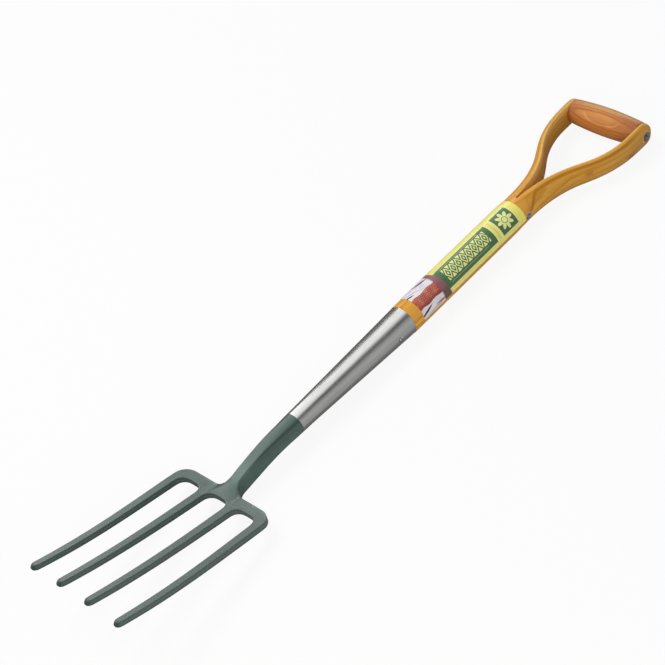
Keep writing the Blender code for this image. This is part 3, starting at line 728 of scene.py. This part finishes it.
def head_point(vert):
    """Where a vertex of the flat sheet lies on the leaning, swept head."""
    x, y = vert.co.x, vert.co.y
    share = min(max(-y / TINE_REACH, 0.0), 1.0)
    thick = 1.0
    for reach, depth_share in TIP_DEPTHS:
        if -y * 1000 > reach - 0.2:
            thick = depth_share
    y += TIP_LEAN * ease((-y - TINE_REACH + TIP_RUN) / TIP_RUN) * (0.5, 0.0, 1.0)[vert[level] + 1]
    front = head_front(y) - outer_drop(x, y)
    depth = blend(*HEAD_DEPTH, share)
    if y > NECK_BASE_Y:
        section = neck_section(y)
        top = blend(section[1], front, 0.55 * abs(vert[across]))
        return x, y, blend(section[2], top, (vert[level] + 1) / 2)
    if y > 0.001:
        front -= 0.0012 * max(vert[level], 0)
    return x, y, front - depth / 2 + vert[level] * thick * depth / 2


pick_all()
place_picked(head_point)
print("the tips' front lies", round(head_front(-TINE_REACH), 4), "above the axis")

# %% [markdown]
# The neck grows out of the four faces at the middle of the back. Its ring has only eight vertices,
# four corners and four middles. Creased corners make it a box near the shoulder. Without creases the
# same ring, with its corners pulled in and its middles pushed out, is a circle: eight points of a
# smooth curve lie at 0.902 of the cage's radius.

# %% Extrude the neck and the socket
MIDDLE_OUT = 1 / 0.9024
CORNER_IN = MIDDLE_OUT * cos(pi / 4)


def extrude_ring(y, section):
    """Extrudes the picked faces into the next ring of the neck or the socket."""
    global across, upright, level
    bpy.ops.mesh.extrude_region_move()
    across, upright, level = ring_layers()
    half_width, top, bottom, roundness = section

    def ring_point(vert):
        reach = blend(1.0, CORNER_IN if vert[across] and vert[upright] else MIDDLE_OUT, roundness)
        z = (top + bottom + (top - bottom) * vert[upright] * reach) / 2
        return half_width * vert[across] * reach, y, z

    place_picked(ring_point)


def is_neck_base(face):
    return all(vert.co.y > NECK_BASE_Y for vert in face.verts) and abs(face.normal.y) > 0.5


open_cage().normal_update()
print("neck base faces", pick("FACE", is_neck_base))
for station in NECK_STATIONS:
    extrude_ring(station / 1000, neck_section(station / 1000))
extrude_ring(MOUTH_Y, (BORE_RADIUS, BORE_RADIUS, -BORE_RADIUS, 1.0))
for share in (0.03, 0.4, 0.97, 1.0):
    radius = blend(BORE_RADIUS, TENON_TIP_RADIUS + 0.0003, share)
    extrude_ring(blend(MOUTH_Y, TENON_START_Y - 0.0003, share), (radius, radius, -radius, 1.0))

# %% [markdown]
# Now the creases. The rims of the plate and tines and the corner lines of the neck are partly sharp.
# They fade out along the neck, where the forging turns round, and towards the blunt tips.

# %% Which edges are crisp
def crease(value, test):
    count = pick("EDGE", test)
    bpy.ops.transform.edge_crease(value=value)
    return count


def is_rim(edge, low, high):
    """An edge of the front or back outline whose middle lies between two distances along y."""
    first, second = edge.verts
    if first[level] != second[level] or first[level] == 0 or len(edge.link_faces) != 2:
        return False
    middle = (first.co.y + second.co.y) / 2
    if not low <= middle < high or middle > 0.0045:
        return False
    flat = [abs(face.normal.z) > 0.5 for face in edge.link_faces]
    return flat[0] != flat[1]


def same_spot(edge):
    first, second = edge.verts
    return first[across] == second[across] and first[upright] == second[upright]


def is_corner_line(edge, low, high):
    """An edge along one of the neck's corners whose middle lies between two distances along y."""
    first, second = edge.verts
    if not (first[across] and first[upright]) or abs(first.co.y - second.co.y) < 0.001:
        return False
    return same_spot(edge) and low <= (first.co.y + second.co.y) / 2 < high


# %% Crease the forged edges
pick_all()
bpy.ops.mesh.normals_make_consistent(inside=False)
# This layer marks where light and shade are painted on the head: 1 at mid-depth of the sides of the plate
# and tines for a painted highlight line, -1.5 along the tines' back rims and up to -0.78 along the neck's
# upper corners for painted shade.
edge_tone = open_cage().verts.layers.float.new("edge_tone")
across, upright, level = ring_layers()
for vert in open_cage().verts:
    if vert.co.y < NECK_BASE_Y:
        vert[edge_tone] = float(vert[level] == 0)
        pitch = blend(*TINE_PITCH, -vert.co.y / TINE_REACH)
        if vert.co.y < -0.025 and vert[level] < 0:
            vert[edge_tone] = -1.5 if abs((vert.co.x / pitch) % 1 - 0.5) > 0.02 else 0.6
    elif vert[across] and vert[upright] > 0:
        vert[edge_tone] = -0.78 * ease((vert.co.y - 0.010) / 0.040)
refresh()
rims = 0
for low, high, value in ((-0.190, 0.01, 0.56), (-0.2165, -0.190, 0.50), (-0.2215, -0.2165, 0.42)):
    rims += crease(value, lambda edge: is_rim(edge, low, high))
for low, high, value in ((0.0, 0.048, 0.40), (0.048, 0.060, 0.36), (0.060, 0.072, 0.30),
                         (0.072, 0.084, 0.23), (0.084, 0.096, 0.15)):
    rims += crease(value, lambda edge: is_corner_line(edge, low, high))


def is_mouth_rim(edge):
    """A ring edge at the socket's mouth, outside or inside, but not one across the rim."""
    return all(abs(vert.co.y - MOUTH_Y) <= 0.0001 for vert in edge.verts) and not same_spot(edge)


print("creased", rims, "rim edges and", crease(0.62, is_mouth_rim), "at the mouth")
apply_modifier(head, "SUBSURF", levels=3, render_levels=3)
settle(head, "fork_head", painted_steel)

# %% [markdown]
# The ash shaft
#
# One stick of ash makes the whole handle. Its lower end tapers into the socket. Its upper end is sawn
# down the middle, steamed and bent apart into two arms, each round outside and flat inside, which end
# in a rounded tongue beside the grip. Half of it is enough: an open half ring is extruded from station
# to station, its saw cut is closed, one arm is drawn out along its path, and a mirror makes the rest.
#
# Real grain follows the bend of a steamed arm. So each vertex also keeps the place that it had in the
# straight stick, before bending, and the wood's pattern is read from that.

# %% The shaft's sizes
SHAFT_RADIUS = 0.0200
SPLIT_HALF_DEPTH = 0.0179
FLATTENING = 0.030
HALF_KERF = 0.0013
ARM_RUN = GRIP_Y - SPLIT_Y
ARM_ANGLE = radians(32.0)
BEND_OUT = 0.160
BEND_IN = 0.115
ARM_X = 0.0513
ARM_THICKNESS = 0.0105
ARM_HALF_DEPTH = 0.0152
TONGUE_FULLNESS = 0.62
TONGUE_RUN = 0.060
EASED_EDGE = 0.0018
SPOTS = 40
CORNER_SPOTS = 4
print("arms", round(ARM_RUN, 4), "long from the split to the grip")


# %% The shaft's forms
def half_section(spot, thickness, half_depth, fullness=1.0, clip=HALF_KERF, corner=0.0):
    """Out and rise of one spot on a D-shaped section, from its flat side's lower edge to the upper."""
    side = -1 if spot < SPOTS / 2 else 1
    inward = min(spot, SPOTS - spot)
    wide = thickness + clip
    start = acos(((corner + clip) / wide) ** (1 / fullness))
    edge_rise = half_depth * sin(start) ** fullness
    corner_spots = CORNER_SPOTS if corner > 0 else 0
    if corner > 0 and inward <= corner_spots:
        swing = pi / 2 * inward / corner_spots
        return corner * (1 - cos(swing)), side * (edge_rise - corner * (1 - sin(swing)))
    turn = start * (1 - (inward - corner_spots) / (SPOTS / 2 - corner_spots))
    return wide * cos(turn) ** fullness - clip, side * half_depth * sin(turn) ** fullness


def arm_stations():
    """The arm's inner face as (x, y, angle, distance along it), from the split to beside the grip."""
    stations = [(HALF_KERF, SPLIT_Y, 0.0, 0.0)]

    def bend(radius, last_angle, count):
        x, y, start, along = stations[-1]
        for angle in steps_between(start, last_angle, count):
            stations.append((x + radius * (cos(start) - cos(angle)), y + radius * (sin(angle) - sin(start)),
                             angle, along + radius * (angle - start)))

    def run(length, count):
        x, y, angle, along = stations[-1]
        for gone in steps_between(0.0, length, count):
            stations.append((x + gone * sin(angle), y + gone * cos(angle), angle, along + gone))

    bend(BEND_OUT, ARM_ANGLE, 20)
    run((ARM_X - stations[-1][0] - BEND_IN * (1 - cos(ARM_ANGLE))) / sin(ARM_ANGLE), 3)
    bend(-BEND_IN, 0.0, 16)
    run(GRIP_Y - stations[-1][1], 5)
    return stations[1:]


# %% Number the spots of a half ring
bpy.ops.mesh.primitive_circle_add(vertices=SPOTS + 3, radius=0.02, fill_type="NOTHING", location=FORK)
shaft = begin("split_ash_shaft")
open_cage().verts.layers.float_vector.new("grain_place")
spot_layer = numbers("spot")
for number, vert in enumerate(open_cage().verts):
    vert[spot_layer] = number - 1
refresh()
print("half ring", len(open_cage().verts), "spots")


# %% Where a ring of the stick lies
def keep_place(vert, *place):
    """Stores where a vertex lay in the straight stick."""
    vert[open_cage().verts.layers.float_vector["grain_place"]] = Vector(place)


def shank_point(y, radius, half_depth=None):
    """A formula for one ring of the stick: two points on its middle plane and the arc between."""
    half_depth = half_depth or radius

    def point(vert):
        spot = vert[numbers("spot")]
        if spot < 0 or spot > SPOTS:
            x, z = 0.0, copysign(half_depth, spot)
        else:
            x, z = half_section(spot, radius - HALF_KERF, half_depth)
            x += HALF_KERF
        keep_place(vert, x, y, z)
        return x, y, z
    return point


def ring_step(edge, y, closed):
    """Whether an edge is a step of the ring at y: all of its half ring, or the closed ring of an arm."""
    first, second = sorted(vert[numbers("spot")] for vert in edge.verts)
    if any(abs(vert.co.y - y) > SAME_PLACE for vert in edge.verts):
        return False
    if not closed:
        return second - first == 1
    return first >= 0 and second <= SPOTS and second - first in (1, SPOTS)


def shaft_depth(y):
    """Half the shaft's depth: round lower down, a little flattened where it comes to the split."""
    return blend(SHAFT_RADIUS, SPLIT_HALF_DEPTH, ease((y - SPLIT_Y + FLATTENING) / FLATTENING))


def tenon_radius(y):
    return blend(BORE_RADIUS - 0.0002, TENON_TIP_RADIUS, (MOUTH_Y - y) / (MOUTH_Y - TENON_START_Y))


# %% Draw the round half of the stick
pick_all()
place_picked(shank_point(TENON_START_Y, tenon_radius(TENON_START_Y)))
bpy.ops.mesh.edge_face_add()
pick("EDGE", lambda edge: ring_step(edge, TENON_START_Y, False))
sections = [(MOUTH_Y, tenon_radius(MOUTH_Y)), (MOUTH_Y + 0.0003, MOUTH_RADIUS)]
sections += [(y, SHAFT_RADIUS) for y in (MOUTH_Y + 0.0007, 0.32, 0.37, 0.42, 0.47, SPLIT_Y - FLATTENING)]
sections += [(y, SHAFT_RADIUS, shaft_depth(y)) for y in steps_between(SPLIT_Y - FLATTENING, SPLIT_Y, 12)]
for section in sections:
    bpy.ops.mesh.extrude_edges_move()
    place_picked(shank_point(*section))
print("half stick", len(open_cage().verts), "vertices up to the split")

# %% Close the saw cut and draw out one arm
KERF_SPOTS = (-1, 0, SPOTS, SPOTS + 1)
pick("VERT", lambda vert: abs(vert.co.y - SPLIT_Y) < SAME_PLACE and vert[numbers("spot")] in KERF_SPOTS)
bpy.ops.mesh.edge_face_add()
pick("EDGE", lambda edge: ring_step(edge, SPLIT_Y, True))


def arm_point(x, y, angle, along, thickness, half_depth, fullness, clip, corner):
    def point(vert):
        out, rise = half_section(vert[numbers("spot")], thickness, half_depth, fullness, clip, corner)
        keep_place(vert, HALF_KERF + out, SPLIT_Y + along, rise)
        return x + out * cos(angle), y - out * sin(angle), rise
    return point


for x, y, angle, along in arm_stations():
    share = ease((y - SPLIT_Y) / (0.62 * ARM_RUN))
    flat_share = ease((y - GRIP_Y + TONGUE_RUN) / TONGUE_RUN)
    bpy.ops.mesh.extrude_edges_move()
    place_picked(arm_point(x, y, angle, along, blend(SHAFT_RADIUS - HALF_KERF, ARM_THICKNESS, share),
                           blend(SPLIT_HALF_DEPTH, ARM_HALF_DEPTH, share),
                           blend(blend(1.0, 0.85, share), TONGUE_FULLNESS, flat_share),
                           HALF_KERF * (1 - share), blend(0.0002, EASED_EDGE, ease((y - SPLIT_Y) / 0.03))))
for swing in steps_between(0.0, radians(87.0), 16):
    bpy.ops.mesh.extrude_edges_move()
    rise = ARM_HALF_DEPTH * sin(swing)
    narrow = ARM_HALF_DEPTH * cos(swing)
    thickness = ARM_THICKNESS * blend(0.35, 1.0, cos(swing))
    place_picked(arm_point(ARM_X, GRIP_Y + rise, 0.0, along + rise, thickness, narrow, TONGUE_FULLNESS,
                           0.0, min(EASED_EDGE, 0.8 * narrow)))
bpy.ops.mesh.edge_face_add()
apply_modifier(shaft, "MIRROR", merge_threshold=0.00005)
grain = shaft.data.attributes["grain_place"].data
for vert, place in zip(shaft.data.vertices, grain):
    if vert.co.x < 0:
        place.vector[0] = -abs(place.vector[0])
print("stick and arms", len(shaft.data.vertices), "vertices")

# %% [markdown]
# The rivets sit in shallow seats with flat floors, so that the washers lie square. A cylinder taken
# away with a Boolean is the same cut as the maker's flat-bottomed drill.

# %% Drill the seats and the rivet holes
GRIP_BORE = 0.0031
# Where each seat lies along the fork, how far out its floor is, its radius and the rivet hole's
SEATS = {"grip": (GRIP_Y, ARM_X + ARM_THICKNESS - 0.0012, 0.0068, GRIP_BORE),
         "split": (SPLIT_Y - 0.004, SHAFT_RADIUS - 0.0008, 0.0048, 0.0021)}


def drill(piece, radius, depth, x, y, sides=48):
    bpy.ops.mesh.primitive_cylinder_add(vertices=sides, radius=radius, depth=depth,
                                        rotation=(0.0, pi / 2, 0.0), location=(x, SHOULDER_Y + y, AXIS_Z))
    drill_bit = bpy.context.object
    apply_modifier(piece, "BOOLEAN", operation="DIFFERENCE", solver="EXACT", object=drill_bit)
    bpy.data.objects.remove(drill_bit, do_unlink=True)
    bpy.ops.object.select_all(action="DESELECT")
    piece.select_set(True)


for y, seat, seat_radius, hole_radius in SEATS.values():
    drill(shaft, hole_radius, 0.15, 0.0, y, 24)
    for side in (-1, 1):
        drill(shaft, seat_radius, 0.010, side * (seat + 0.005), y)
settle(shaft, "shaft", ash, sharp=35)

# %% [markdown]
# Turned pieces
#
# The grip, the rivets and the washers are all round about one line across the fork. Each is a profile
# drawn point by point, one vertex extruded to the next, and spun through a full turn.

# %% Spin a profile
def turned(name, profile, y, closed, steps=48):
    """A piece turned about a line along x at y, from a profile of (radius, x) points."""
    bpy.ops.mesh.primitive_plane_add(size=0.001, location=FORK)
    piece = begin(name)
    bpy.ops.mesh.select_mode(type="VERT")
    pick_all()
    bpy.ops.mesh.merge(type="CENTER")
    points = [(across, y, radius) for radius, across in profile]
    place_picked(lambda vert: points[0])
    for point in points[1:]:
        bpy.ops.mesh.extrude_vertices_move()
        place_picked(lambda vert, point=point: point)
    if closed:
        pick("VERT", lambda vert: len(vert.link_edges) == 1)
        bpy.ops.mesh.edge_face_add()
    pick_all()
    bpy.ops.mesh.spin(steps=steps, angle=2 * pi, center=(0.0, SHOULDER_Y + y, AXIS_Z),
                      axis=(1.0, 0.0, 0.0))
    return piece


# %% [markdown]
# The grip is a barrel of a redder wood, a little thicker in the middle, with eased ends. It is bored
# through for the long rivet that holds the handle together.

# %% Turn the grip
GRIP_HALF = 0.0510
grip_profile = [(GRIP_BORE, GRIP_HALF)]
for number in range(41):
    x = GRIP_HALF * (1 - number / 20)
    radius = blend(0.0156, 0.01825, cos(x / GRIP_HALF * pi / 2))
    edge = min((GRIP_HALF - abs(x)) / 0.0012, 1.0)
    grip_profile.append((radius - 0.0004 * (1 - edge) ** 2, x))
grip_profile.append((GRIP_BORE, -GRIP_HALF))
grip = turned("barrel_grip", grip_profile, GRIP_Y, True, 72)
settle(grip, "grip", red_wood, sharp=40)

# %% [markdown]
# Each rivet has a low domed head at both ends. A washer is a flat ring whose outer edge is eased.

# %% Turn the rivets and the washers
def steel_piece(node, profile, y, closed, steps=48):
    piece = turned(node + "_steel", profile, y, closed, steps)
    settle(piece, node, rivet_steel, sharp=40)


def rivet(node, y, radius, head_radius, head_height, seat):
    dome = [(head_radius * sin(turn), seat + head_height * cos(turn))
            for turn in [0.0, *steps_between(0.0, pi / 2, 8)]]
    profile = dome + [(radius, seat), (radius, -seat)] + [(across, -x) for across, x in reversed(dome)]
    steel_piece(node, profile, y, False, 32)


rivet("grip_rivet", GRIP_Y, 0.0028, 0.0040, 0.0016, ARM_X + ARM_THICKNESS + 0.0006)
rivet("split_rivet", SEATS["split"][0], 0.0018, 0.0028, 0.0011, SHAFT_RADIUS + 0.0007)
RIVET_Y = MOUTH_Y - 0.0255
rivet("socket_rivet", RIVET_Y, 0.0024, 0.0035, 0.0020, neck_section(RIVET_Y)[0] + 0.0001)

for where, thick in (("grip", 0.0012), ("split", 0.0009)):
    y, seat, seat_radius, inner = SEATS[where]
    outer = seat_radius - 0.0003
    for word, side in (("left", -1), ("right", 1)):
        base = seat + 0.0001
        ring = [(inner, base), (inner, base + thick), (outer - 0.0006, base + thick),
                (outer - 0.00025, base + thick - 0.0001), (outer, base + thick - 0.0004), (outer, base)]
        steel_piece(where + "_washer_" + word, [(radius, side * x) for radius, x in ring], y, True)

# %% [markdown]
# Paper labels
#
# The two labels are thin sheets wrapped part of the way round the stick. A flat grid already has a UV
# map, so its printing follows the paper however it is bent. The grid is bent by a formula and given
# the thickness of lacquered paper.

# %% Wrap the labels
GLUE, PAPER_THICKNESS = 0.0001, 0.0004


def wrapped_label(node, y_start, y_end, first_turn, last_turn, material):
    bpy.ops.mesh.primitive_grid_add(x_subdivisions=36, y_subdivisions=24, size=2.0, location=FORK)
    label = begin("paper_" + node)
    pick_all()

    def wrap(vert):
        turn = radians(blend(first_turn, last_turn, (vert.co.x + 1) / 2))
        y = blend(y_start, y_end, (vert.co.y + 1) / 2) - SHOULDER_Y
        return (SHAFT_RADIUS + GLUE) * sin(turn), y, (shaft_depth(y) + GLUE) * cos(turn)

    place_picked(wrap)
    apply_modifier(label, "SOLIDIFY", thickness=PAPER_THICKNESS, offset=1.0)
    settle(label, node, material, sharp=40)


wrapped_label("main_label", main_low.y, main_high.y, -45.0, 95.0, main_paper)
wrapped_label("band_label", band_low.y, band_high.y, -47.0, 97.0, band_paper)

# %% [markdown]
# The studio
#
# The fork lies on a plain pale floor under soft light. One large lamp hangs above and to its left, so
# that the fronts of the tines are bright and their right sides dark, and the white room fills in.

# %% Floor, world and lamps
def plain_surface(name, colour, strength):
    """A surface that looks white to the eye and in metal, and still takes a soft shadow."""
    finish = Finish(name, Base_Color=colour, Roughness=0.9)
    return finish.glow(1.0, finish.shader.outputs[0], finish.seen() * strength)


bpy.ops.mesh.primitive_plane_add(size=12.0, location=(0.0, 0.0, -0.0005))
floor = bpy.context.object
floor.name = "studio_floor"
floor.data.materials.append(plain_surface("studio_white", (0.82, 0.82, 0.82), 0.90))
floor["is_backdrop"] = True

world = bpy.data.worlds.new("white_room")
bpy.context.scene.world = world
world.use_nodes = True
room = Network(world.node_tree)
background = room.tree.nodes["Background"]
room.feed(background.inputs["Color"], (1.0, 1.0, 1.0))
room.feed(background.inputs["Strength"], room.node("ShaderNodeMapRange", {0: room.seen(), 3: 0.40, 4: 1.0}))
print("floor and room")


# %% Lamps
def lamp(name, place, power):
    """A round soft lamp that is aimed at the fork's middle and not mirrored in it."""
    data = bpy.data.lights.new(name, "AREA")
    data.shape = "DISK"
    data.size = 1.2
    data.energy = power
    made = bpy.data.objects.new(name, data)
    bpy.context.scene.collection.objects.link(made)
    made.location = place
    made.rotation_euler = (-Vector(place)).to_track_quat("-Z", "Y").to_euler()
    made.visible_glossy = False
    print(name, power, "W")


lamp("key_softbox", (-1.5, -0.4, 2.4), 42.0)
lamp("fill_softbox", (1.2, -1.2, 1.1), 12.0)

# %% [markdown]
# Bright steel shows only what stands round it. A photographer hangs up screens: a white one overhead
# for the bright band, darker ones for the lines beside it, and one on the floor. These screens run
# along the fork and glow faintly from tone to tone. They are seen in reflections alone.

# %% A screen for the steel to mirror
def screen(name, stops, spot, near, far):
    """A sheet along the fork. Its stops give a measure across it and the tone there."""
    first, last = stops[0][0], stops[-1][0]
    bpy.ops.mesh.primitive_grid_add(x_subdivisions=32, y_subdivisions=1, size=2.0)
    made = begin(name)
    pick_all()

    def hang(vert):
        x, z = spot(blend(first, last, (vert.co.x + 1) / 2))
        return x, near if vert.co.y < 0 else far, z

    place_picked(hang)
    bpy.ops.object.mode_set(mode="OBJECT")
    finish = Finish(name + "_tone")
    u = finish.axes(finish.node("ShaderNodeTexCoord", {}, "UV"))[0]
    tone = stops[0][1]
    for (start, before), (end, after) in zip(stops, stops[1:]):
        share = u.step((start - first) / (last - first), (end - first) / (last - first))
        tone = tone + share * (after - before)
    made.data.materials.append(finish.glow(tone))
    for ray in ("camera", "diffuse", "transmission", "volume_scatter", "shadow"):
        setattr(made, "visible_" + ray, False)
    made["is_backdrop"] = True
    print(name, "from", near, "to", far)


def arc(radius):
    """Spots at one distance from the shaft's axis, so many degrees up from the right."""
    def spot(angle):
        turn = radians(angle)
        return radius * cos(turn), AXIS_Z + radius * sin(turn)
    return spot


# %% Hang the screens
around, close_by = arc(1.3), arc(0.66)
screen("right_screen", ((-2.0, 0.42), (20.0, 0.41), (38.0, 0.29), (47.0, 0.16), (58.0, 0.10), (91.0, 1.0)),
       around, -1.6, 2.2)
screen("left_screen", ((130.0, 0.9), (141.0, 0.56), (152.0, 0.17), (190.0, 0.10)), around, 0.35, 0.86)
screen("neck_screen", ((108.0, 1.0), (118.0, 1.5), (138.0, 1.6), (150.0, 0.5), (162.0, 0.12), (190.0, 0.08)),
       around, -1.0, 0.34)
screen("plate_screen", ((126.0, 1.0), (136.0, 3.4), (152.0, 3.4), (161.0, 0.3), (190.0, 0.10)),
       around, 0.87, 3.2)
screen("tine_screen", ((137.0, 0.6), (142.0, 2.2), (155.0, 2.2), (161.0, 0.2)), close_by, -0.20, 0.15)
screen("floor_screen", ((-1.32, 0.12), (-0.5, 0.14), (-0.05, 0.10), (0.015, 0.14), (0.055, 0.36),
                        (0.60, 0.42), (1.4, 0.42)), lambda x: (x, -0.0003), -1.2, 1.2)

# %% [markdown]
# The camera stands where the photographer's stood. Its place, tilt and focal length were found from the
# fork itself: the lines of the tines, the shoulder and the shaft fix all of them.

# %% The camera
AZIMUTH, ELEVATION, ROLL = (radians(angle) for angle in (54.7325, 43.3319, -17.7602))
back = Vector((sin(AZIMUTH) * cos(ELEVATION), -cos(AZIMUTH) * cos(ELEVATION), sin(ELEVATION)))
level_right = Vector((cos(AZIMUTH), sin(AZIMUTH), 0.0))
level_up = back.cross(level_right)
right = level_right * cos(ROLL) + level_up * sin(ROLL)
up = level_up * cos(ROLL) - level_right * sin(ROLL)
eye = Vector((1.28849, -0.71083 + SHOULDER_Y, 1.56116 + AXIS_Z))
FOCAL_PIXELS, PICTURE_PIXELS = 1920.0, 665.0
lens = bpy.data.cameras.new("photo_camera")
lens.sensor_width = 36.0
lens.lens = lens.sensor_width * FOCAL_PIXELS / PICTURE_PIXELS
lens.clip_start = 0.05
lens.clip_end = 30.0
camera = bpy.data.objects.new("photo_camera", lens)
bpy.context.scene.collection.objects.link(camera)
camera.matrix_world = Matrix.Translation(eye) @ Matrix((right, up, back)).transposed().to_4x4()
bpy.context.scene.camera = camera
bpy.context.scene.view_settings.view_transform = "Standard"
print("camera at", [round(side, 3) for side in eye])

# %% [markdown]
# Last, the box of the dressed fork is measured and printed.

# %% Measure and finish
bpy.context.view_layer.update()
low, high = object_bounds()
print("visual box", [round(side, 4) for side in high - low])
